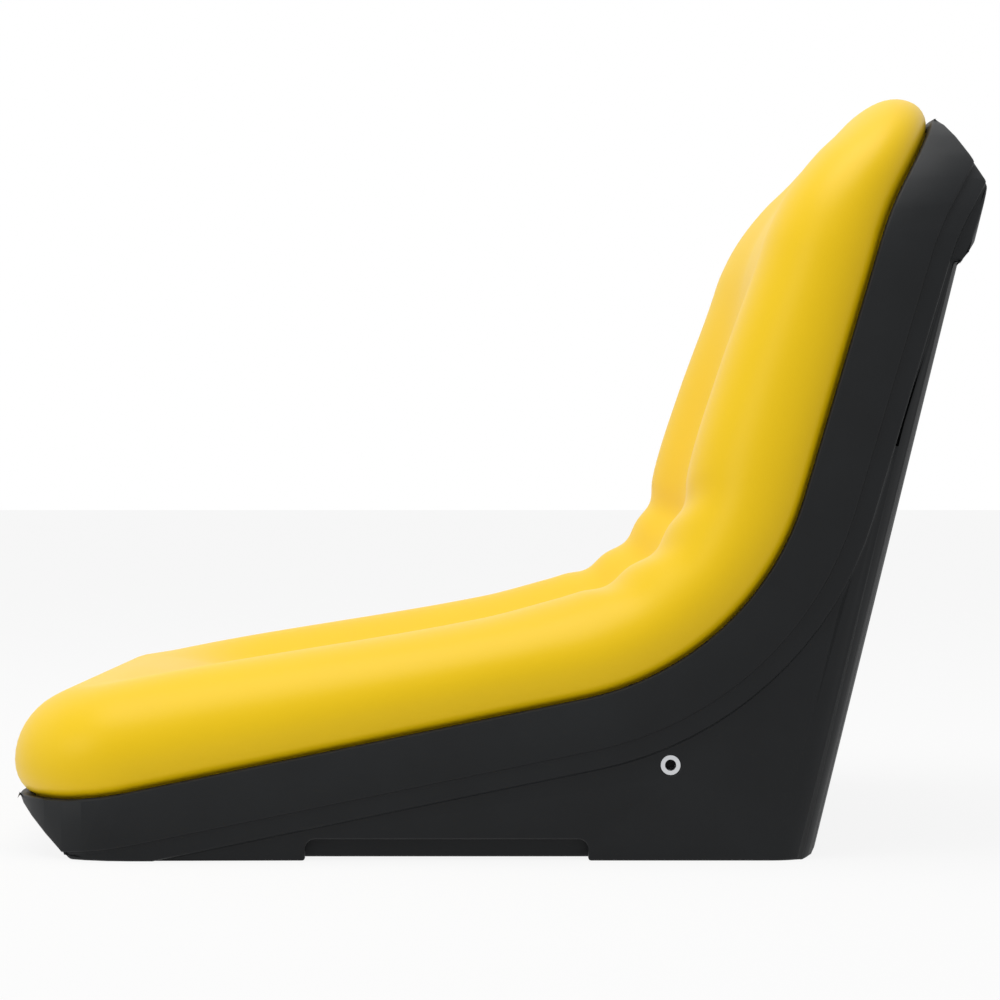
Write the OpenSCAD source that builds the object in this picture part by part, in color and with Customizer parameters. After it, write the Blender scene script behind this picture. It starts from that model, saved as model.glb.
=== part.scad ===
// Utility vehicle seat: a moulded shell with a one-piece padded cushion.
// X is the width, the sitter faces -Y, and the shell's base stands on Z = 0.

/* [Side line of the rim] */
// Height of the rim at the front lip
rim_front_h = 36; // [32:1:46]
// Level run of the rim at the front lip
lip_run = 15; // [10:1:30]
// Run over which the rim turns up to the seat's rake
lip_turn = 50; // [30:5:80]
// Rise of the seat towards the back, in degrees
seat_rake = 11.6; // [8:0.2:16]
// Straight run of the rim along the seat
seat_run = 286; // [230:2:320]
// Radius of the rim's bend at the lumbar
lumbar_r = 177; // [150:1:210]
// Lean of the backrest from upright, in degrees
back_lean = 17; // [12:0.5:22]
// Straight run of the rim up the backrest
back_run = 164; // [130:2:220]
// Run over which the rim turns back at the head
head_turn = 42; // [30:1:70]
// Further lean of the head, in degrees
head_lean = 13; // [6:0.5:18]
// Straight run of the rim at the head
head_run = 47; // [20:1:60]

/* [Moulded body] */
// Width of the shell at the seat
shell_w = 514; // [470:2:560]
// How much narrower each side of the shell is at the top
back_taper = 14; // [0:1:24]
// Radius of the shell's front corners, seen from above
front_r = 78; // [60:1:95]
// Radius of the shell's top corners, seen from the front
top_r = 100; // [80:1:120]
// Wall of the moulding
wall = 4; // [3:0.5:5]
// Width of the rim outside the cushion's seam
rim_lip = 8; // [6:0.5:10]
// Depth of the recess that the cushion sits in
recess_depth = 12; // [10:0.5:14]
// Width of the outer band below the rim
band_w = 32; // [28:1:40]
// Width of the bead below the band
bead_w = 10; // [7:0.5:14]
// Inset of the bead behind the band's face
bead_inset = 3; // [2:0.5:4]
// Width of the groove between the band and the bead
groove_w = 2; // [1:0.5:3]
// Inset of the side panel behind the band's face
panel_inset = 7; // [5:0.5:9]
// How far the front wall slopes back from the lip to the base
front_wall_run = 40; // [30:1:50]
// Radius of the edge where the rear wall meets the base
heel_r = 10; // [6:1:14]
// Lean of the rear wall from upright, in degrees
rear_lean = 13.8; // [11:0.2:17]
// Radius of the upright edges of the rear wall
rear_edge_r = 26; // [15:1:34]
// Depth of the head behind the rim
head_depth = 46; // [42:1:56]
// Drop of the head's rear edge along the rim's line
head_drop = 24; // [10:1:30]
// How far the head stands proud of the rear wall
head_step = 7; // [4:1:10]
// Height of the head's rear face
head_face = 48; // [36:1:60]
// Height of the slope from the head's rear face in to the rear wall
head_slope_h = 13; // [8:1:20]

/* [Underside] */
// Thickness of the stiffening ribs
rib_t = 3; // [2.5:0.5:4]
// Distance of the long ribs from the middle
rib_x = 236; // [226:1:240]
// Length of the relief in each side's lower edge
relief_len = 172; // [120:2:200]
// Height of the relief
relief_h = 13; // [9:1:16]
// Corner radius of the relief
relief_r = 6; // [3:1:8]
// Place of the relief's rear end, behind the middle of the seat
relief_end = 56; // [20:2:70]

/* [Cushion] */
// How far the cushion's sides bulge past its seam
bulge = 11; // [8:0.5:13]
// Height of the widest bulge above the rim
bulge_h = 20; // [16:1:26]
// Height of the cushion over the front edge
front_crest = 65; // [58:1:80]
// Height of the side bolsters at the thighs
thigh_crest = 58; // [52:1:70]
// Height of the side bolsters at the lumbar
lumbar_crest = 59; // [54:1:74]
// Height of the side bolsters on the back
back_crest = 69; // [60:1:80]
// Height of the cushion at the head
head_crest = 43; // [38:1:56]
// Width of the rolled edge from the widest bulge to the bolster's crest
side_roll = 60; // [50:1:70]
// Depth of the rolled front edge
front_roll = 46; // [38:1:56]
// Depth of the rolled head edge
head_roll = 36; // [28:1:46]
// Depth of the dished middle below the bolsters
dish = 24; // [12:1:30]
// Width of the slope from a bolster's crest down into the dish
dish_slope = 80; // [60:2:100]
// Number of pleats across the lumbar
pleat_count = 3; // [2:1:3]
// Distance from one pleat to the next
pleat_pitch = 54; // [48:1:58]
// Distance of the first pleat beyond the seat's straight run
pleat_start = 44; // [36:1:52]
// Depth of a pleat
pleat_depth = 6; // [3:0.5:8]
// Half the width of a pleat
pleat_w = 6; // [4:0.5:8]
// Swell of the padding between pleats
pleat_swell = 3; // [0:0.5:5]
// How far a pleat climbs on its way over the bolster
pleat_climb = 15; // [0:1:20]

/* [Cushion fixing] */
// Thickness of the pan under the cushion
pan_t = 4; // [3:0.5:5]
// Clear gap around pieces that only rest in place
fit_gap = 0.3; // [0.2:0.05:0.5]
// Distance of the cushion screws from the middle
screw_x = 115; // [90:1:130]
// Shank radius of the cushion screws
screw_r = 3; // [2.5:0.25:3.5]
// Height of the cushion screws' heads
screw_head_h = 4; // [3:0.5:5]
// Head radius of the cushion screws
screw_head_r = 6; // [5:0.5:7]
// Thickness of the cushion screws' washers
washer_t = 1.5; // [1:0.25:2]
// Radius of the cushion screws' washers
washer_r = 8.5; // [8:0.5:10]
// Inner radius of the screw wells in the rear wall
well_r = 13; // [12:0.5:15]

/* [Mounting] */
// Distance between the mounting holes, across and along
mount_pitch = 285.75; // [260:0.25:300]
// Bore radius of the threaded mounting nuts
mount_bore_r = 3.4; // [2.5:0.1:4.2]
// Radius of the clearance holes in the rails
rail_hole_r = 4.5; // [4.3:0.1:5.5]
// Length of the mounting rails
rail_len = 372; // [360:2:390]
// Width of the mounting rails
rail_w = 44; // [36:1:52]
// Thickness of the rails' steel
rail_t = 4; // [4:0.5:5]
// Height of the rails
rail_h = 14; // [11:1:14]
// Inner radius of the bend in the rails
rail_bend_r = 4; // [3:0.5:6]
// Distance between the screws that hold each rail
rail_screw_pitch = 165; // [160:1:168]
// Shank radius of the rail screws
rail_screw_r = 3; // [2.5:0.25:3]
// Length of the rail screws
rail_screw_len = 16; // [14:1:18]
// Head radius of the countersunk rail screws
rail_head_r = 6; // [5:0.25:6.5]
// Outer radius of the bosses that carry the rails
boss_r = 8; // [7:0.5:9]
// Outer radius of the threaded inserts in the sides
side_insert_r = 6; // [5.5:0.5:7]
// Length of the threaded inserts in the sides
side_insert_len = 18; // [14:1:24]
// Distance of the side inserts behind the middle of the seat
side_insert_y = 106; // [90:1:115]
// Height of the side inserts above the base
side_insert_z = 58; // [46:1:62]

/* [Hidden] */

black = [0.07, 0.08, 0.09];
yellow = [1.0, 0.80, 0.05];
steel = [0.62, 0.63, 0.65];
brass = [0.78, 0.64, 0.32];
grey = [0.35, 0.36, 0.38];
far = 900;
eps = 0.01;

// Runs of the rim's side line: length, heading at its start, heading at its end
back_head = 90 - back_lean;
top_head = back_head - head_lean;
lumbar_run = lumbar_r * (back_head - seat_rake) * PI / 180;
RIM = [[lip_run, 0, 0], [lip_turn, 0, seat_rake], [seat_run, seat_rake, seat_rake],
    [lumbar_run, seat_rake, back_head], [back_run, back_head, back_head],
    [head_turn, back_head, top_head], [head_run, top_head, top_head]];
// Facets of each run
RIM_STEPS = [1, 4, 1, 16, 1, 4, 1];
function run_start(i) = i == 0 ? 0 : run_start(i - 1) + RIM[i - 1][0];
seat_s = run_start(2);
lumbar_s = run_start(3);
back_s = run_start(4);
rim_s = run_start(6) + head_run;

// Displacement after a length along one run
function along(run, len) = let (a = run[1], b = a + (run[2] - a) * len / run[0])
    abs(b - a) < eps ? len * [cos(a), sin(a)]
        : len * 180 / (PI * (b - a)) * [sin(b) - sin(a), cos(a) - cos(b)];
// Side line at a distance from the front: y, z and heading, before it is centred
function raw_line(s, i = 0, p = [0, rim_front_h]) = let (run = RIM[i])
    s > run[0] && i < len(RIM) - 1 ? raw_line(s - run[0], i + 1, p + along(run, run[0]))
        : let (q = p + along(run, s)) [q[0], q[1], run[1] + (run[2] - run[1]) * s / run[0]];
function raw_off(s, n) = let (p = raw_line(s))
    [p[0] - n * sin(p[2]), p[1] + n * cos(p[2])];

// The whole seat is centred between the cushion's nose and the head's rear edge
mid_y = (raw_off(rim_s - head_drop, -head_depth)[0] - bulge) / 2;
// Point at distance s along the rim and n above it, as [y, z]
function off(s, n) = raw_off(s, n) - [mid_y, 0];
function stations() = [for (i = [0 : len(RIM) - 1]) for (k = [0 : RIM_STEPS[i] - 1])
    run_start(i) + RIM[i][0] * k / RIM_STEPS[i]];
// Line at height n above the rim, from s0 to s1
function rim_line(n, s0, s1) = [off(s0, n), for (s = stations()) if (s > s0 && s < s1) off(s, n), off(s1, n)];
function ease(a, b, t) = let (u = max(0, min(1, t))) a + (b - a) * u * u * (3 - 2 * u);

// Corners of the shell's side outline
lip_tip = off(-rim_lip, 0);
front_foot_y = lip_tip[0] + front_wall_run;
top_tip = off(rim_s + rim_lip, 0);
head_edge = off(rim_s - head_drop, -head_depth);
function rear_y(z, d = 0) = head_edge[0] - head_step - d / cos(rear_lean)
    - (head_edge[1] - z) * tan(rear_lean);
front_slope = atan2(lip_tip[1], front_wall_run);

// Half the shell's width at a height
taper_z0 = off(lumbar_s + lumbar_run / 2, 0)[1];
function half_w(z) = shell_w / 2 - ease(0, back_taper, (z - taper_z0) / (top_tip[1] - taper_z0));

// Outlines seen from above, from the front, and down the rear wall, all d inside the shell's
function arc(c, r, a0, a1, steps) = [for (i = [0 : steps])
    let (a = a0 + (a1 - a0) * i / steps) c + r * [cos(a), sin(a)]];
CORNER_STEPS = 8;
module above_outline(d) {
    half = shell_w / 2 - d;
    r = front_r - d;
    y = lip_tip[0] + d;
    polygon(concat(arc([r - half, y + r], r, 180, 270, CORNER_STEPS),
        arc([half - r, y + r], r, 270, 360, CORNER_STEPS), [[half, far], [-half, far]]));
}
module front_outline(d) {
    z = top_tip[1] - d;
    r = top_r - d;
    side = [for (k = [0 : 6]) let (h = taper_z0 + (z - r - taper_z0) * k / 6) [half_w(h) - d, h]];
    x = half_w(z - r) - d - r;
    right = concat([[shell_w / 2 - d, -far]], side, arc([x, z - r], r, 0, 90, CORNER_STEPS));
    polygon(concat(right, [for (i = [len(right) - 1 : -1 : 0]) [-right[i][0], right[i][1]]]));
}
module down_outline(d) {
    half = shell_w / 2 - d;
    r = rear_edge_r + panel_inset - d;
    polygon(concat([[-half, -far], [half, -far]], arc([half - r, -r], r, 0, 90, CORNER_STEPS),
        arc([r - half, -r], r, 90, 180, CORNER_STEPS)));
}

module across(w) { rotate([90, 0, 90]) linear_extrude(w, center = true) children(); }
module upward() { translate([0, 0, -far]) linear_extrude(2 * far) children(); }
module lengthwise() { rotate([90, 0, 0]) linear_extrude(2 * far, center = true) children(); }
// Extrusion that follows the rear wall's lean, its far side d inside the wall
module down_wall(d) {
    translate([0, rear_y(0, d), 0]) rotate([-rear_lean, 0, 0]) upward() children();
}
// What lies within the outline d inside the shell's
module inside_plan(d, w) {
    intersection() {
        across(2 * w) children();
        upward() above_outline(d);
        lengthwise() front_outline(d);
    }
}

// Side profiles
function below_line(n) = concat(rim_line(n, -far / 2, rim_s + far / 2), [[far, far], [far, -far], [-far, -far]]);
function strip(n0, n1) = let (a = rim_line(n0, -2 * rim_lip, rim_s + 2 * rim_lip),
    b = rim_line(n1, -2 * rim_lip, rim_s + 2 * rim_lip)) concat(a, [for (i = [len(b) - 1 : -1 : 0]) b[i]]);
head_jog = head_edge - (head_face - head_slope_h) * [tan(rear_lean), 1];
head_foot_z = head_edge[1] - head_face;
function heel_arc() = let (half = (90 - rear_lean) / 2, reach = heel_r * tan(half))
    arc([rear_y(0) - reach, heel_r], heel_r, -rear_lean, -90, 6);
module side_outline() {
    polygon(concat([[front_foot_y, 0]], rim_line(0, -rim_lip, rim_s + rim_lip),
        [head_edge, head_jog, [rear_y(head_foot_z), head_foot_z]], heel_arc()));
}
// What lies behind the front wall, below the head's end face and before the rear wall
head_dir = (head_edge - top_tip) / norm(head_edge - top_tip);
module walls_outline(t = wall) {
    below = [0, -heel_r];
    head_in = t * [head_dir[1], -head_dir[0]];
    front_in = [t / sin(front_slope), 0];
    polygon([[front_foot_y + heel_r / tan(front_slope), 0] + front_in + below, lip_tip + front_in,
        lip_tip + front_in + [0, far], top_tip + head_in - far * head_dir, head_edge + head_in,
        [rear_y(head_edge[1], t), head_edge[1] - 2 * wall],
        [rear_y(-heel_r, t), 0] + below]);
}
module cavity_outline(n) {
    intersection() {
        polygon(below_line(n));
        walls_outline();
    }
}

module shell_skin() {
    intersection() {
        across(shell_w + 2 * far) side_outline();
        union() {
            inside_plan(0, shell_w) polygon(strip(far / 18, -band_w));
            inside_plan(bead_inset, shell_w) polygon(strip(eps, -band_w - groove_w - bead_w));
            intersection() {
                inside_plan(panel_inset, shell_w) side_outline();
                down_wall(-eps) down_outline(panel_inset);
            }
            intersection() {
                inside_plan(panel_inset, shell_w) side_outline();
                down_wall(-head_step) down_outline(panel_inset);
                translate([-far, -far, head_foot_z]) cube(2 * far);
            }
        }
    }
}

// Places of the fixings
seat_screw_s = [seat_s + 0.16 * seat_run, seat_s + 0.86 * seat_run];
back_screw_s = [back_s + 0.12 * back_run, back_s + 0.86 * back_run];
floor_n = -recess_depth;
under_n = floor_n - wall;
mount_y = (front_foot_y + rear_y(0)) / 2 + 6;
rail_x = mount_pitch / 2;
boss_floor_z = rail_t + fit_gap;
insert_len = 10;
insert_r = 4.5;

// Puts things at a place on the rim line, with z along its normal
module on_line(s, x, n = 0) {
    p = off(s, n);
    translate([x, p[0], p[1]]) rotate([raw_line(s)[2], 0, 0]) children();
}
module at_screws(list) { for (s = list) for (x = [-screw_x, screw_x]) on_line(s, x) children(); }
module at_rail_screws(side) {
    for (k = [-1 : 1]) translate([side * rail_x, mount_y + k * rail_screw_pitch, 0]) children();
}
module in_side(side) {
    translate([side * (shell_w / 2 - panel_inset), side_insert_y, side_insert_z])
        rotate([0, -90 * side, 0]) children();
}

module seat_shell() {
    color(black) difference() {
        union() {
            difference() {
                shell_skin();
                inside_plan(rim_lip, shell_w) intersection() {
                    polygon(strip(far / 18, -recess_depth));
                    walls_outline();
                }
                inside_plan(wall, shell_w) intersection() {
                    polygon(strip(under_n, wall - band_w));
                    cavity_outline(under_n);
                }
                intersection() {
                    inside_plan(panel_inset + wall, shell_w) cavity_outline(under_n);
                    down_wall(wall) down_outline(panel_inset + wall);
                }
            }
            intersection() {
                inside_plan(panel_inset + wall / 2, shell_w) walls_outline(wall / 2);
                down_wall(wall / 2) down_outline(panel_inset + wall / 2);
                across(shell_w) polygon(below_line(under_n + wall / 2));
                union() {
                    for (side = [-1, 1]) translate([side * rib_x - rib_t / 2, -far, 1]) cube([rib_t, 2 * far, far]);
                    at_screws(back_screw_s) mirror([0, 0, 1]) cylinder(h = far / 3, r = well_r + rib_t, $fn = 48);
                    for (side = [-1, 1]) {
                        at_rail_screws(side) translate([0, 0, boss_floor_z]) cylinder(h = far / 4, r = boss_r, $fn = 40);
                        in_side(side) cylinder(h = side_insert_len + rib_t, r = side_insert_r + rib_t, $fn = 40);
                    }
                }
            }
        }
        at_screws(back_screw_s) translate([0, 0, under_n]) mirror([0, 0, 1]) cylinder(h = far / 3, r = well_r, $fn = 48);
        at_screws(concat(seat_screw_s, back_screw_s)) translate([0, 0, under_n - 1])
            cylinder(h = wall + 2, r = screw_r + fit_gap, $fn = 32);
        for (side = [-1, 1]) {
            at_rail_screws(side) translate([0, 0, boss_floor_z - 1]) cylinder(h = 1 + insert_len, r = insert_r, $fn = 32);
            in_side(side) translate([0, 0, -panel_inset - 1])
                cylinder(h = panel_inset + 1 + side_insert_len, r = side_insert_r, $fn = 40);
            translate([side * shell_w / 2, relief_end - relief_len, 0]) rotate([90, 0, 90])
                translate([0, 0, -1.5 * (panel_inset + wall)]) linear_extrude(3 * (panel_inset + wall)) union() {
                    translate([0, -1]) square([relief_len, relief_h - relief_r + 1]);
                    translate([relief_r, 0]) square([relief_len - 2 * relief_r, relief_h]);
                    for (y = [relief_r, relief_len - relief_r]) translate([y, relief_h - relief_r])
                        circle(relief_r, $fn = 32);
                }
        }
    }
}

// Half the width of the cushion's seam
function seam_half(s) = half_w(off(s, 0)[1]) - rim_lip;
corner_front = front_r - rim_lip;
corner_top = top_r - rim_lip;
corner_top_s = corner_top / sin(top_head);
CUSHION_CORNER = 5;
pleat_s0 = lumbar_s + pleat_start;
pleat_s1 = pleat_s0 + (pleat_count - 1) * pleat_pitch;
pleat_zone = 24;
function spread(a, b, step) = let (count = max(1, ceil((b - a) / step)))
    [for (i = [0 : count - 1]) a + (b - a) * i / count];
side_s = concat(spread(corner_front + 20, pleat_s0 - pleat_zone, 30),
    spread(pleat_s0 - pleat_zone, pleat_s1 + pleat_zone, 5.4),
    spread(pleat_s1 + pleat_zone, rim_s - corner_top_s - 10, 26));
// Rows climb with the pleats, and less and less away from them
function climbed(climb) = [for (s = side_s) s + climb
    * ease(0, 1, (s - pleat_s0 + 4 * pleat_zone) / (3 * pleat_zone))
    * ease(1, 0, (s - pleat_s1 - pleat_zone) / (3 * pleat_zone))];
// Row j of an outline that stands out by o = [front, side, top]
function row(j, o, sides) = let (c = CUSHION_CORNER, last = len(sides) + 1 + 2 * c)
    j <= c ? let (a = 90 * j / c, r = [corner_front + o[0], corner_front + o[1]])
        [-o[0] + r[0] * (1 - cos(a)), seam_half(corner_front * j / c) + o[1] - r[1] * (1 - sin(a))]
    : j >= last - c ? let (a = 90 * (last - j) / c, r = [corner_top_s + o[2], corner_top + o[1]])
        [rim_s + o[2] - r[0] * (1 - cos(a)),
            seam_half(rim_s - corner_top_s * (last - j) / c) + o[1] - r[1] * (1 - sin(a))]
    : [sides[j - c - 1], seam_half(sides[j - c - 1]) + o[1]];

// Closed solid between two grids of rows; at(k, j, t) is the point of level k at row j, t across
module loft(levels, rows, cols, at) {
    nc = len(cols);
    edge = concat([for (j = [0 : rows - 1]) [j, nc - 1]], [for (c = [nc - 2 : -1 : 1]) [rows - 1, c]],
        [for (j = [rows - 1 : -1 : 0]) [j, 0]], [for (c = [1 : nc - 2]) [0, c]]);
    ne = len(edge);
    grid = rows * nc;
    points = concat([for (j = [0 : rows - 1]) for (c = [0 : nc - 1]) at(0, j, cols[c])],
        [for (k = [1 : levels - 2]) for (e = edge) at(k, e[0], cols[e[1]])],
        [for (j = [0 : rows - 1]) for (c = [0 : nc - 1]) at(levels - 1, j, cols[c])]);
    top0 = grid + (levels - 2) * ne;
    function ring(k, i) = let (e = edge[i % ne])
        k == 0 ? e[0] * nc + e[1] : k == levels - 1 ? top0 + e[0] * nc + e[1] : grid + (k - 1) * ne + i % ne;
    faces = concat(
        [for (j = [0 : rows - 2]) for (c = [0 : nc - 2]) let (a = j * nc + c)
            each [[a, a + 1, a + nc + 1], [a, a + nc + 1, a + nc]]],
        [for (j = [0 : rows - 2]) for (c = [0 : nc - 2]) let (a = top0 + j * nc + c)
            each [[a, a + nc + 1, a + 1], [a, a + nc, a + nc + 1]]],
        [for (k = [0 : levels - 2]) for (i = [0 : ne - 1]) let (a = ring(k, i), b = ring(k, i + 1),
            c = ring(k + 1, i + 1), d = ring(k + 1, i)) each [[a, c, b], [a, d, c]]]);
    polyhedron(points, faces);
}

// Height of the padding's crest along the seat
KNOTS = [[0, front_crest], [corner_front, front_crest], [seat_s + 0.84 * seat_run, thigh_crest],
    [lumbar_s + lumbar_run / 2, lumbar_crest], [back_s + 0.3 * back_run, back_crest],
    [rim_s - corner_top_s, back_crest - 4], [rim_s, head_crest]];
function crest(s, i = 0) = s <= KNOTS[0][0] ? KNOTS[0][1] : i >= len(KNOTS) - 1 ? KNOTS[i][1]
    : s <= KNOTS[i + 1][0] ? ease(KNOTS[i][1], KNOTS[i + 1][1], (s - KNOTS[i][0]) / (KNOTS[i + 1][0] - KNOTS[i][0]))
    : crest(s, i + 1);
// Depth of the pleats, and swell of the padding between and beside them
function pleat(s) = let (u = (s - pleat_s0) / pleat_pitch,
    k = max(0, min(pleat_count - 1, round(u))),
    d = (u - k) * pleat_pitch / pleat_w,
    beyond = max(-0.5 - u, u - pleat_count + 0.5),
    swell = beyond < 0 ? pow(sin(180 * u), 2) : ease(1, 0, beyond / 1.3))
    pleat_swell * swell - pleat_depth * exp(-d * d);
// Height over the rim at s and x; crest_x is where the bolster's crest is
function top_n(s, x, crest_x) = let (inner = (crest_x - abs(x)) / dish_slope,
    depth = ease(0, dish, inner) * ease(0, 1, (s - front_roll) / (2 * front_roll))
        * ease(1, 0.15, (s - rim_s + 2 * corner_top_s) / (2 * corner_top_s)))
    crest(s) - depth;

pan_top = fit_gap + pan_t - recess_depth;
// How fast the front wall and the head's end face come in below the rim
front_in_rate = front_wall_run / lip_tip[1];
head_in_rate = (head_drop + rim_lip) / head_depth;
// Levels below the widest bulge: share of the bulge and of its height, or the height itself
LOWER = [[0, pan_top + fit_gap], [0, fit_gap], [0, 0.03], [0.42, 0.16], [0.82, 0.5]];
UPPER_STEPS = 6;
module seat_cushion() {
    rows = len(side_s) + 2 * CUSHION_CORNER + 2;
    levels = len(LOWER) + UPPER_STEPS + 1;
    inner = [-1, -0.9, -0.78, -0.64, -0.5, -0.25, 0];
    cols = concat(inner, [for (i = [len(inner) - 2 : -1 : 0]) -inner[i]]);
    color(yellow) loft(levels, rows, cols, function (k, j, t)
        let (low = k < len(LOWER), a = low ? 0 : 90 * (k - len(LOWER)) / UPPER_STEPS,
            out = k == 0 ? -fit_gap * [1, 1, 1] + pan_top * [front_in_rate, 0, head_in_rate]
                : k == 1 ? -fit_gap * [1, 1, 1] : low ? bulge * LOWER[k][0] * [1, 1, 1]
                : [for (r = [front_roll, side_roll, head_roll]) bulge - r * (1 - cos(a))],
            p = row(j, out, climbed(pleat_climb * (low ? 1 : ease(1, 0, (a - 45) / 45)))),
            plain = row(j, out, side_s)[0], x = t * p[1],
            base = bulge_h * min(1, crest(p[0]) / thigh_crest),
            top = top_n(p[0], x, p[1]) + (low ? 0 : pow(sin(a), 2) * pleat(plain)),
            n = k < 2 ? LOWER[k][1] : low ? fit_gap + (base - fit_gap) * LOWER[k][1]
                : base + (top - base) * sin(a),
            q = off(p[0], n)) [x, q[0], q[1]]);
}

// Fewer rows for the pan, because it has no pleats
pan_s = [for (s = stations()) if (s > corner_front && s < rim_s - corner_top_s) s];
module cushion_pan() {
    rows = len(pan_s) + 2 * CUSHION_CORNER + 2;
    inset = 4 * fit_gap * [1, 1, 1] + recess_depth * [front_in_rate, 0, head_in_rate];
    color(grey) difference() {
        loft(2, rows, [-1, 0, 1], function (k, j, t) let (p = row(j, -inset, pan_s),
            q = off(p[0], fit_gap - recess_depth + k * pan_t)) [t * p[1], q[0], q[1]]);
        at_screws(concat(seat_screw_s, back_screw_s)) {
            translate([0, 0, floor_n - 1]) cylinder(h = pan_t + 2, r = tee_r, $fn = 32);
            translate([0, 0, pan_top - tee_flange_t]) cylinder(h = 2, r = tee_flange_r, $fn = 40);
        }
    }
}

tee_r = 4.5;
tee_flange_r = 9;
tee_flange_t = 1.4;
module tee_nut() {
    color(steel) difference() {
        union() {
            translate([0, 0, floor_n + fit_gap]) cylinder(h = pan_t - tee_flange_t, r = tee_r - 0.05, $fn = 32);
            translate([0, 0, pan_top - tee_flange_t]) cylinder(h = tee_flange_t - 0.1, r = tee_flange_r - 0.1, $fn = 40);
        }
        translate([0, 0, floor_n]) cylinder(h = pan_t + 2, r = screw_r + 0.02, $fn = 32);
    }
}
module washer() {
    color(steel) translate([0, 0, under_n - washer_t]) difference() {
        cylinder(h = washer_t, r = washer_r, $fn = 40);
        translate([0, 0, -1]) cylinder(h = washer_t + 2, r = screw_r + fit_gap, $fn = 32);
    }
}
module cushion_screw() {
    color(steel) translate([0, 0, under_n - washer_t - screw_head_h]) difference() {
        union() {
            cylinder(h = screw_head_h, r1 = screw_head_r - 1, r2 = screw_head_r, $fn = 40);
            cylinder(h = screw_head_h + washer_t + wall + pan_t, r = screw_r, $fn = 32);
        }
        translate([0, 0, -1]) cylinder(h = 3, r = screw_r * 0.8, $fn = 6);
    }
}

module rail() {
    half = rail_w / 2;
    out_r = rail_bend_r + rail_t;
    color(steel) difference() {
        translate([0, mount_y, 0]) rotate([90, 0, 0]) linear_extrude(rail_len, center = true) union() {
            translate([out_r - half, 0]) square([rail_w - 2 * out_r, rail_t]);
            for (m = [0, 1]) mirror([m, 0]) {
                translate([half - rail_t, out_r]) square([rail_t, rail_h - out_r]);
                difference() {
                    translate([half - out_r, out_r]) circle(out_r, $fn = 48);
                    translate([half - out_r, out_r]) circle(rail_bend_r, $fn = 48);
                    translate([half - 3 * out_r, 0]) square([2 * out_r, 3 * out_r]);
                    translate([half - 2 * out_r, out_r]) square([3 * out_r, 2 * out_r]);
                }
            }
        }
        for (k = [-1, 1]) translate([0, mount_y + k * mount_pitch / 2, -1])
            cylinder(h = rail_t + 2, r = rail_hole_r, $fn = 40);
        for (k = [-1 : 1]) translate([0, mount_y + k * rail_screw_pitch, 0]) {
            translate([0, 0, -1]) cylinder(h = rail_t + 2, r = rail_screw_r + fit_gap, $fn = 32);
            translate([0, 0, -eps]) cylinder(h = rail_head_r - rail_screw_r + eps,
                r1 = rail_head_r + fit_gap, r2 = rail_screw_r + fit_gap, $fn = 40);
        }
    }
}
module mounting_nuts() {
    color(steel) for (k = [-1, 1]) translate([0, mount_y + k * mount_pitch / 2, rail_t]) difference() {
        cylinder(h = 2 * mount_bore_r, r = 2.2 * mount_bore_r, $fn = 6);
        translate([0, 0, -1]) cylinder(h = 2 * mount_bore_r + 2, r = mount_bore_r, $fn = 40);
    }
}
module rail_screws() {
    color(steel) for (k = [-1 : 1]) translate([0, mount_y + k * rail_screw_pitch, 0.2]) difference() {
        union() {
            cylinder(h = rail_head_r - rail_screw_r, r1 = rail_head_r, r2 = rail_screw_r, $fn = 40);
            cylinder(h = rail_screw_len - 3, r = rail_screw_r, $fn = 32);
        }
        translate([0, 0, -1]) cylinder(h = 2.8, r = rail_screw_r * 0.6, $fn = 6);
    }
}
module boss_inserts() {
    color(brass) for (k = [-1 : 1]) translate([0, mount_y + k * rail_screw_pitch, boss_floor_z]) difference() {
        cylinder(h = insert_len, r = insert_r - 0.02, $fn = 32);
        translate([0, 0, -1]) cylinder(h = insert_len + 2, r = rail_screw_r + 0.02, $fn = 32);
    }
}
module side_insert(side) {
    color(steel) in_side(side) difference() {
        translate([0, 0, 1]) cylinder(h = side_insert_len - 1.1, r = side_insert_r - 0.02, $fn = 40);
        cylinder(h = 2 * side_insert_len, r = mount_bore_r, $fn = 40);
    }
}

seat_shell();
seat_cushion();
cushion_pan();
at_screws(seat_screw_s) cushion_screw();  // seat_screws
at_screws(seat_screw_s) washer();  // seat_washers
at_screws(seat_screw_s) tee_nut();  // seat_tee_nuts
at_screws(back_screw_s) cushion_screw();  // back_screws
at_screws(back_screw_s) washer();  // back_washers
at_screws(back_screw_s) tee_nut();  // back_tee_nuts
translate([-rail_x, 0, 0]) rail();  // left_rail
translate([rail_x, 0, 0]) rail();  // right_rail
translate([-rail_x, 0, 0]) mounting_nuts();  // left_mounting_nuts
translate([rail_x, 0, 0]) mounting_nuts();  // right_mounting_nuts
translate([-rail_x, 0, 0]) rail_screws();  // left_rail_screws
translate([rail_x, 0, 0]) rail_screws();  // right_rail_screws
translate([-rail_x, 0, 0]) boss_inserts();  // left_boss_inserts
translate([rail_x, 0, 0]) boss_inserts();  // right_boss_inserts
side_insert(-1);  // left_side_insert
side_insert(1);  // right_side_insert
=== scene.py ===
import math

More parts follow.
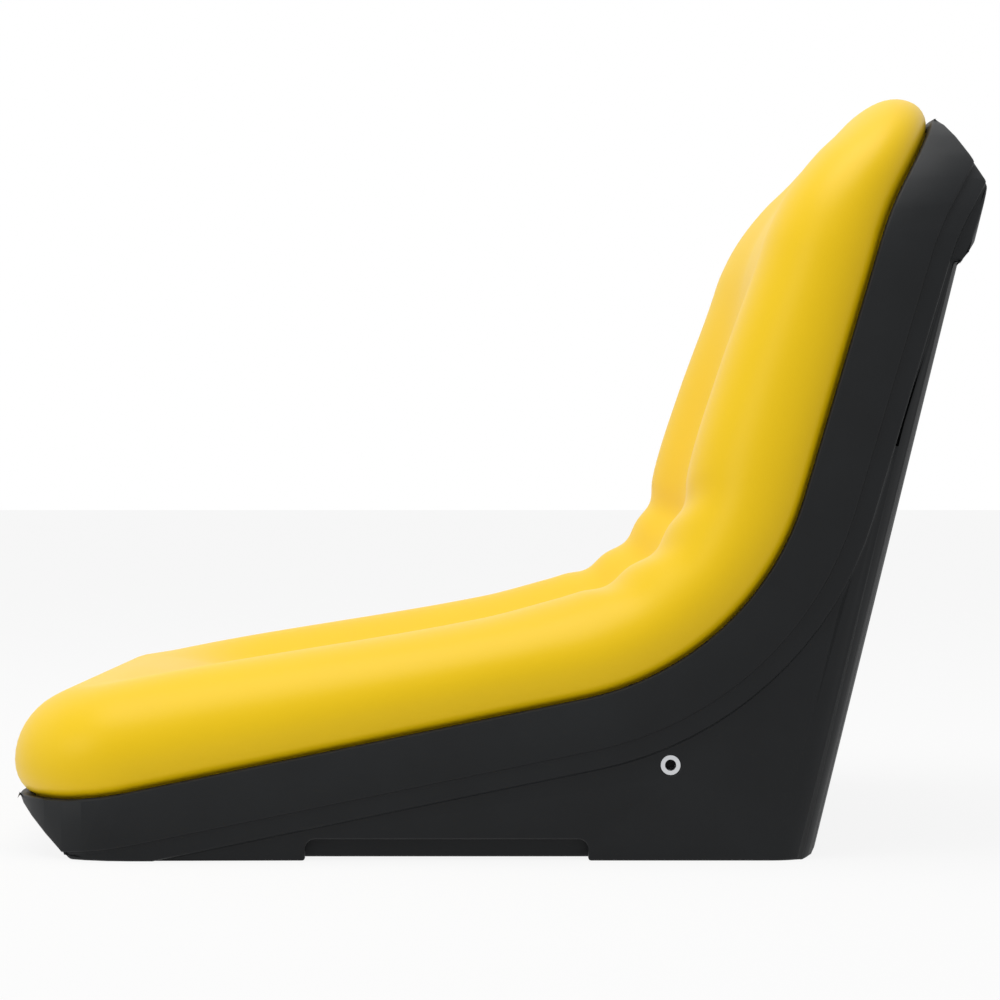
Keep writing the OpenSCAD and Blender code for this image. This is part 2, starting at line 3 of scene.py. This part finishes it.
import bmesh
import bpy
import numpy as np
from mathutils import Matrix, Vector


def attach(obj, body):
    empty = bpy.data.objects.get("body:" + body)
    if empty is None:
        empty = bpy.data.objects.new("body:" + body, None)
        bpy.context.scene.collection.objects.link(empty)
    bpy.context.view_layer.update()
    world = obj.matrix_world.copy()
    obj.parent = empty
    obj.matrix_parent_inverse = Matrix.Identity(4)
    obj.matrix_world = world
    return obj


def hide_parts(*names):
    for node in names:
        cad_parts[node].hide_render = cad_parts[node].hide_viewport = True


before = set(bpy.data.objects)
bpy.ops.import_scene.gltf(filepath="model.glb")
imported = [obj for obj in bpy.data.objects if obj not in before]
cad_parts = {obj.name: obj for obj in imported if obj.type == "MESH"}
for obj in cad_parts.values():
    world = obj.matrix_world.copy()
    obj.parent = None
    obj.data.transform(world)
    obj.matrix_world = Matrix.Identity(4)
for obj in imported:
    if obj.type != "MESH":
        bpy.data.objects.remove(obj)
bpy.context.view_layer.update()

# The shell: one hollow injection moulding in black polypropylene, open below, with ribs and bosses inside.
# The tool leaves a fine texture on it and breaks every outer edge; a band and a bead stiffen its rim.
MM = 0.001
EDGE_TURN = 24
EDGE_ROUND = 1.6 * MM
SHELL_BLACK = (0.0052, 0.0060, 0.0070, 1)
SHELL_SCUFF = (0.011, 0.0125, 0.014, 1)


class Wire:
    """A value in a node tree. Arithmetic on it adds Math nodes, and node() adds any other node."""

    def __init__(self, tree, socket=None):
        self.tree = tree
        self.socket = socket

    def node(self, kind, settings=None, sockets=None, output=0):
        made = self.tree.nodes.new(kind)
        for name, value in (settings or {}).items():
            if name == "stops":
                ramp = made.color_ramp.elements
                while len(ramp) < len(value):
                    ramp.new(0.5)
                for stop, (place, colour) in zip(ramp, value):
                    stop.position = place
                    stop.color = colour
            else:
                setattr(made, name, value)
        for name, value in (sockets or {}).items():
            if isinstance(value, Wire):
                self.tree.links.new(value.socket, made.inputs[name])
            else:
                made.inputs[name].default_value = value
        return Wire(self.tree, made.outputs[output] if len(made.outputs) else None)

    def math(self, operation, first, second):
        return self.node("ShaderNodeMath", {"operation": operation}, {0: first, 1: second})

    def __add__(self, other):
        return self.math("ADD", self, other)

    def __sub__(self, other):
        return self.math("SUBTRACT", self, other)

    def __rsub__(self, other):
        return self.math("SUBTRACT", other, self)

    def __mul__(self, other):
        return self.math("MULTIPLY", self, other)

    __radd__ = __add__
    __rmul__ = __mul__


def new_finish(name):
    finish = bpy.data.materials.new(name)
    finish.use_nodes = True
    finish.node_tree.nodes.clear()
    return finish, Wire(finish.node_tree)


def surface(wire, sockets):
    shader = wire.node("ShaderNodeBsdfPrincipled", None, sockets)
    wire.node("ShaderNodeOutputMaterial", None, {"Surface": shader})


def moulded_plastic(name, plain, scuffed, roughness, grain=0.00006):
    """Moulded plastic with a spark-eroded texture, and faint handling marks that change its gloss."""
    finish, wire = new_finish(name)
    spot = wire.node("ShaderNodeTexCoord", output="Object")
    fine = wire.node("ShaderNodeTexNoise", None, {"Vector": spot, "Scale": 1300.0, "Detail": 2.0})
    broad = wire.node("ShaderNodeTexNoise", None, {"Vector": spot, "Scale": 9.0, "Detail": 5.0, "Roughness": 0.6})
    patch = wire.node("ShaderNodeMapRange", None, {"Value": broad, "From Min": 0.35, "From Max": 0.75})
    colour = wire.node("ShaderNodeMix", {"data_type": "RGBA"}, {0: patch, 6: plain, 7: scuffed}, output=2)
    bump = wire.node("ShaderNodeBump", None, {"Height": fine, "Strength": 0.5, "Distance": grain})
    surface(wire, {"Base Color": colour, "Roughness": patch * 0.10 + roughness + fine * 0.06,
                   "Normal": bump, "Specular IOR Level": 0.22})
    return finish


def joined_copy(node):
    """A CAD node's loose triangles, joined into whole faces whose edges a bevel can follow."""
    shape = bmesh.new()
    shape.from_mesh(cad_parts[node].data)
    bmesh.ops.remove_doubles(shape, verts=shape.verts, dist=0.01 * MM)
    bmesh.ops.dissolve_limit(shape, angle_limit=math.radians(0.3), use_dissolve_boundaries=False,
                             verts=shape.verts, edges=shape.edges, delimit=set())
    return shape


def add_piece(name, shape, finish):
    mesh = bpy.data.meshes.new(name)
    shape.to_mesh(mesh)
    shape.free()
    mesh.materials.append(finish)
    mesh.shade_smooth()
    piece = bpy.data.objects.new(name, mesh)
    bpy.context.scene.collection.objects.link(piece)
    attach(piece, "root")
    return piece


shell_black = moulded_plastic("moulded_black", SHELL_BLACK, SHELL_SCUFF, 0.40)
shape = joined_copy("seat_shell")
edges = [e for e in shape.edges if len(e.link_faces) == 2 and e.calc_face_angle() > math.radians(EDGE_TURN)
         and e.calc_length() > 0.5 * MM]
bmesh.ops.bevel(shape, geom=edges, offset=EDGE_ROUND, offset_type="OFFSET", segments=2, profile=0.5,
                affect="EDGES", clamp_overlap=False, material=-1)
moulded_shell = add_piece("moulded_shell", shape, shell_black)
moulded_shell.data.set_sharp_from_angle(angle=math.radians(40))
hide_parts("seat_shell")

# The cushion: vinyl drawn tight over moulded foam, one piece for the base and the back.
# Side bolsters rise round a dished middle, and three pleats across the lumbar let it bend; its skirt sits in the rim.
RIM_FRONT = 36.0
RUNS = [(15.0, 0.0, 0.0), (50.0, 0.0, 11.6), (286.0, 11.6, 11.6), (177.0 * math.radians(61.4), 11.6, 73.0),
        (164.0, 73.0, 73.0), (42.0, 73.0, 60.0), (47.0, 60.0, 60.0)]
RIM_S = sum(run[0] for run in RUNS)
SEAT_S = 65.0
LUMBAR_S = 351.0
BACK_S = LUMBAR_S + RUNS[3][0]
MID_Y = 291.745
SHELL_HALF = 257.0
BACK_TAPER = 14.0
RIM_LIP = 8.0
CORNER_FRONT = 70.0
CORNER_TOP = 92.0
CORNER_TOP_S = CORNER_TOP / math.sin(math.radians(60.0))
BULGE = 11.0
BULGE_H = 20.0
ROLL = (46.0, 60.0, 36.0)
CRESTS = [(0.0, 65.0), (CORNER_FRONT, 65.0), (SEAT_S + 0.84 * 286, 58.0), (LUMBAR_S + RUNS[3][0] / 2, 59.0),
          (BACK_S + 0.3 * 164, 69.0), (RIM_S - CORNER_TOP_S, 65.0), (RIM_S, 43.0)]
DISH = 24.0
DISH_SLOPE = 80.0
PLEATS = [LUMBAR_S + 44.0 + 54.0 * k for k in range(3)]
PLEAT_CLIMB = 15.0


def ease(a, b, t):
    t = max(0.0, min(1.0, t))
    return a + (b - a) * t * t * (3 - 2 * t)


def rim_at(s):
    """Place and heading of the rim's side line, s along it from the front: y, z in mm, angle in radians."""
    y, z = -MID_Y, RIM_FRONT
    for k, (length, start, end) in enumerate(RUNS):
        last = k == len(RUNS) - 1
        part = s if (k == 0 and s < 0) or last else min(s, length)
        a = math.radians(start)
        b = a + math.radians(end - start) * part / length
        if abs(b - a) < 1e-6:
            y, z = y + part * math.cos(a), z + part * math.sin(a)
        else:
            y, z = y + part / (b - a) * (math.sin(b) - math.sin(a)), z + part / (b - a) * (math.cos(a) - math.cos(b))
        s -= part
        if s <= 0 or last:
            return y, z, b
    return y, z, b


def above_rim(s, x, n):
    y, z, heading = rim_at(s)
    return Vector((x, y - n * math.sin(heading), z + n * math.cos(heading))) * MM


TAPER_Z = rim_at(LUMBAR_S + RUNS[3][0] / 2)[1]
TOP_Z = rim_at(RIM_S + RIM_LIP)[1]


def seam_half(s):
    return SHELL_HALF - RIM_LIP - ease(0, BACK_TAPER, (rim_at(s)[1] - TAPER_Z) / (TOP_Z - TAPER_Z))


def crest(s):
    for (s0, h0), (s1, h1) in zip(CRESTS, CRESTS[1:]):
        if s <= s1:
            return ease(h0, h1, (s - s0) / (s1 - s0))
    return CRESTS[-1][1]


def outline(out):
    """The cushion's outline, out = (front, side, top) beyond its seam: its 45 degree points and its curves."""
    front, side, top = out
    r_front, r_side = CORNER_FRONT + front, CORNER_FRONT + side
    r_top, r_shoulder = CORNER_TOP_S + top, CORNER_TOP + side
    root_half = math.sqrt(0.5)
    s_front = -front + r_front * (1 - root_half)
    s_top = RIM_S + top - r_top * (1 - root_half)

    def half_at(s):
        half = seam_half(s) + side
        if s < r_front - front:
            c = max(-1.0, 1 - (s + front) / r_front)
            return seam_half(0) + side - r_side + r_side * math.sqrt(max(0.0, 1 - c * c))
        start = RIM_S + top - r_top
        if s > start:
            c = min(1.0, (s - start) / r_top)
            return half - r_shoulder * (1 - math.sqrt(max(0.0, 1 - c * c)))
        return half

    x_front = half_at(s_front)
    x_top = half_at(s_top)

    def front_at(share):
        x = abs(share) * x_front - (seam_half(0) + side - r_side)
        return -front + r_front * (1 - math.sqrt(1 - (x / r_side) ** 2)) if x > 0 else -front

    def top_at(share):
        x = abs(share) * x_top - (x_top - r_shoulder * root_half)
        return RIM_S + top - r_top * (1 - math.sqrt(1 - (x / r_shoulder) ** 2)) if x > 0 else RIM_S + top

    return s_front, s_top, half_at, front_at, top_at


# Rows are close together at the pleats and further apart elsewhere
SEAM_OUT = (0.0, 0.0, 0.0)
s_front, s_top = outline(SEAM_OUT)[:2]
along = np.linspace(s_front, s_top, 4000)
spacing = np.full_like(along, 5.6)
for pleat in PLEATS:
    spacing = np.minimum(spacing, 2.2 + 3.4 * np.clip((np.abs(along - pleat) - 9) / 12, 0, 1))
row_share = np.concatenate([[0], np.cumsum(np.diff(along) / spacing[1:])])
ROWS = int(round(row_share[-1] / 2)) * 2
row_share /= row_share[-1]
COLS = 72


def pad_swell(s):
    """How far the padding swells between the pleats and just beyond them."""
    u = (s - PLEATS[0]) / 54.0
    if -0.5 <= u <= 2.5:
        return 3.0 * math.sin(math.pi * u) ** 2
    beyond = max(-0.5 - u, u - 2.5)
    return ease(3.0, 0.0, beyond / 1.3)


ROLL_STEPS = 12
TUCK_STEPS = 6
LEVELS = [("roll", 90 - 90 * k / ROLL_STEPS) for k in range(1, ROLL_STEPS + 1)]
LEVELS += [("tuck", 90 * k / TUCK_STEPS) for k in range(1, TUCK_STEPS + 1)]
LEVELS += [("skirt", 0.4), ("skirt", 7.0)]


def level_shape(level):
    """Outward offsets, roll angle share and climb of the pleats at one level; level 0 is the top."""
    if level == 0:
        return tuple(BULGE - r for r in ROLL), "top", 90.0, 0.0
    kind, value = LEVELS[level - 1]
    if kind == "roll":
        a = math.radians(value)
        return (tuple(BULGE - r * (1 - math.cos(a)) for r in ROLL), kind, value,
                PLEAT_CLIMB * ease(1, 0, (value - 45) / 45))
    if kind == "tuck":
        return tuple([BULGE * math.cos(math.radians(value)) ** 1.3] * 3), kind, value, PLEAT_CLIMB
    inset = 0.6
    return (-inset - value * 1.1, -inset, -inset - value * 0.7), kind, value, PLEAT_CLIMB


SHAPES = [level_shape(k) + outline(level_shape(k)[0]) for k in range(len(LEVELS) + 1)]


def cushion_point(level, across, share, puff=0.0):
    """Place of one point, with its distance along the pleats' measure and how open a pleat is there."""
    out, kind, value, climb, s0, s1, half_at, front_at, top_at = SHAPES[level]
    row = float(np.interp((share + 1) / 2, row_share, along))
    side = row + (s0 - s_front) * ease(1, 0, (row - s_front) / 110) + (s1 - s_top) * ease(0, 1, (row - s_top + 150) / 150)
    half = half_at(side)
    s = side - ease(1, 0, (side - s0) / 130) * (s0 - front_at(across)) \
        + ease(0, 1, (side - s1 + 150) / 150) * (top_at(across) - s1)
    window = ease(0, 1, (side - PLEATS[0] + 96) / 72) * ease(1, 0, (side - PLEATS[-1] - 24) / 72)
    s += climb * window
    x = across * half
    height = crest(s)
    base = BULGE_H * min(1.0, height / 58.0)
    opening = 0.0
    if kind == "top":
        depth = ease(0, DISH, (half - abs(x)) / DISH_SLOPE) * ease(0, 1, (s - ROLL[0]) / (2 * ROLL[0]))
        depth *= ease(1, 0.15, (s - RIM_S + 2 * CORNER_TOP_S) / (2 * CORNER_TOP_S))
        n = height - depth + pad_swell(side)
        opening = 1.0
    elif kind == "roll":
        lift = math.sin(math.radians(value))
        n = base + (height - base + lift * lift * pad_swell(side)) * lift
        opening = lift
    elif kind == "tuck":
        n = 0.5 + (base - 0.5) * (1 - math.sin(math.radians(value)))
    else:
        n = -value
    return above_rim(s, x, n), side, opening


shape = bmesh.new()
bmesh.ops.create_grid(shape, x_segments=COLS, y_segments=ROWS, size=1.0)
level_of = shape.verts.layers.float.new("level")
across_of = shape.verts.layers.float.new("across")
share_of = shape.verts.layers.float.new("share")
measure_of = shape.verts.layers.float.new("measure")
opening_of = shape.verts.layers.float.new("opening")
for vert in shape.verts:
    vert[across_of], vert[share_of] = vert.co.x, vert.co.y
edges = [e for e in shape.edges if e.is_boundary]
for level in range(1, len(LEVELS) + 1):
    ring = bmesh.ops.extrude_edge_only(shape, edges=edges)["geom"]
    for vert in (g for g in ring if isinstance(g, bmesh.types.BMVert)):
        vert[level_of] = level
    edges = [g for g in ring if isinstance(g, bmesh.types.BMEdge) and g.is_boundary]
for vert in shape.verts:
    vert.co, vert[measure_of], vert[opening_of] = cushion_point(int(vert[level_of]), vert[across_of], vert[share_of])
bmesh.ops.recalc_face_normals(shape, faces=shape.faces)


def vinyl(name):
    """Vinyl with a fine leather grain, a satin surface, and painted shade that darkens it to brown down in its
    creases.
    """
    finish, wire = new_finish(name)
    spot = wire.node("ShaderNodeTexCoord", output="Object")
    pebble = wire.node("ShaderNodeTexVoronoi", {"feature": "SMOOTH_F1"}, {"Vector": spot, "Scale": 950.0})
    fine = wire.node("ShaderNodeTexNoise", None, {"Vector": spot, "Scale": 2400.0, "Detail": 2.0})
    broad = wire.node("ShaderNodeTexNoise", None, {"Vector": spot, "Scale": 6.0, "Detail": 3.0})
    # A mask of the creases: where it is high, painted shade mixes dark brown into the vinyl and the surface turns a
    # little rougher.
    fold = wire.node("ShaderNodeAttribute", {"attribute_name": "fold"}, output="Fac")
    tone = wire.node("ShaderNodeMix", {"data_type": "RGBA"},
                     {0: broad, 6: (0.93, 0.60, 0.0, 1), 7: (1.0, 0.66, 0.0, 1)}, output=2)
    colour = wire.node("ShaderNodeMix", {"data_type": "RGBA"}, {0: fold, 6: tone, 7: (0.42, 0.20, 0.01, 1)}, output=2)
    bump = wire.node("ShaderNodeBump", None,
                     {"Height": pebble * 0.7 + fine * 0.3, "Strength": 0.35, "Distance": 0.00012})
    surface(wire, {"Base Color": colour, "Roughness": broad * 0.10 + 0.36 + fold * 0.1, "Normal": bump,
                   "Specular IOR Level": 0.30})
    return finish


seat_vinyl = vinyl("yellow_vinyl")
cushion = add_piece("padded_cushion", shape, seat_vinyl)
# The crease mask behind the painted shade; nothing writes into it, so it stays at zero.
attribute = cushion.data.attributes.new("fold", "FLOAT", "POINT")
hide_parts("seat_cushion")

# The plain studio: a pale floor and background, one broad soft lamp overhead and one low from the front.
AMBIENT = 0.50


def ray_mask(wire):
    path = wire.node("ShaderNodeLightPath")
    outputs = path.socket.node.outputs
    seen = Wire(wire.tree, outputs["Is Camera Ray"])
    for kind in ("Is Glossy Ray", "Is Transmission Ray"):
        seen = wire.math("MAXIMUM", seen, Wire(wire.tree, outputs[kind]))
    return seen


world = bpy.data.worlds.new("studio")
bpy.context.scene.world = world
world.use_nodes = True
world.node_tree.nodes.clear()
wire = Wire(world.node_tree)
sky = wire.node("ShaderNodeBackground", None, {"Color": (1, 1, 1, 1), "Strength": ray_mask(wire) * (1 - AMBIENT) + AMBIENT})
wire.node("ShaderNodeOutputWorld", None, {"Surface": sky})

floor_finish, wire = new_finish("studio_floor")
matt = wire.node("ShaderNodeBsdfDiffuse", None, {"Color": (0.80, 0.80, 0.80, 1)})
white = wire.node("ShaderNodeEmission", None, {"Color": (1, 1, 1, 1), "Strength": 1.0})
mixed = wire.node("ShaderNodeMixShader", None, {0: ray_mask(wire) * 0.88, 1: matt, 2: white})
wire.node("ShaderNodeOutputMaterial", None, {"Surface": mixed})
shape = bmesh.new()
bmesh.ops.create_grid(shape, x_segments=1, y_segments=1, size=40.0)
mesh = bpy.data.meshes.new("floor")
shape.to_mesh(mesh)
shape.free()
mesh.materials.append(floor_finish)
floor = bpy.data.objects.new("floor", mesh)
bpy.context.scene.collection.objects.link(floor)


def soft_lamp(name, place, aim, power, size):
    lamp = bpy.data.lights.new(name, "AREA")
    lamp.shape = "DISK"
    lamp.size = size
    lamp.energy = power
    item = bpy.data.objects.new(name, lamp)
    item.location = place
    item.rotation_euler = (Vector(aim) - Vector(place)).to_track_quat("-Z", "Y").to_euler()
    bpy.context.scene.collection.objects.link(item)


soft_lamp("overhead_lamp", (0.3, -0.4, 2.4), (0, 0, 0.2), 30, 2.2)
soft_lamp("front_lamp", (1.2, -2.2, 1.2), (0, 0, 0.25), 8, 1.4)

lens = bpy.data.cameras.new("camera")
lens.lens = 102.3
lens.sensor_width = 36
lens.shift_x = 0.004
lens.shift_y = -0.005
camera = bpy.data.objects.new("camera", lens)
camera.location = (1.974, 0, 0.222)
camera.rotation_euler = (math.pi / 2, 0, math.pi / 2)
bpy.context.scene.collection.objects.link(camera)
bpy.context.scene.camera = camera
bpy.context.scene.view_settings.view_transform = "Standard"
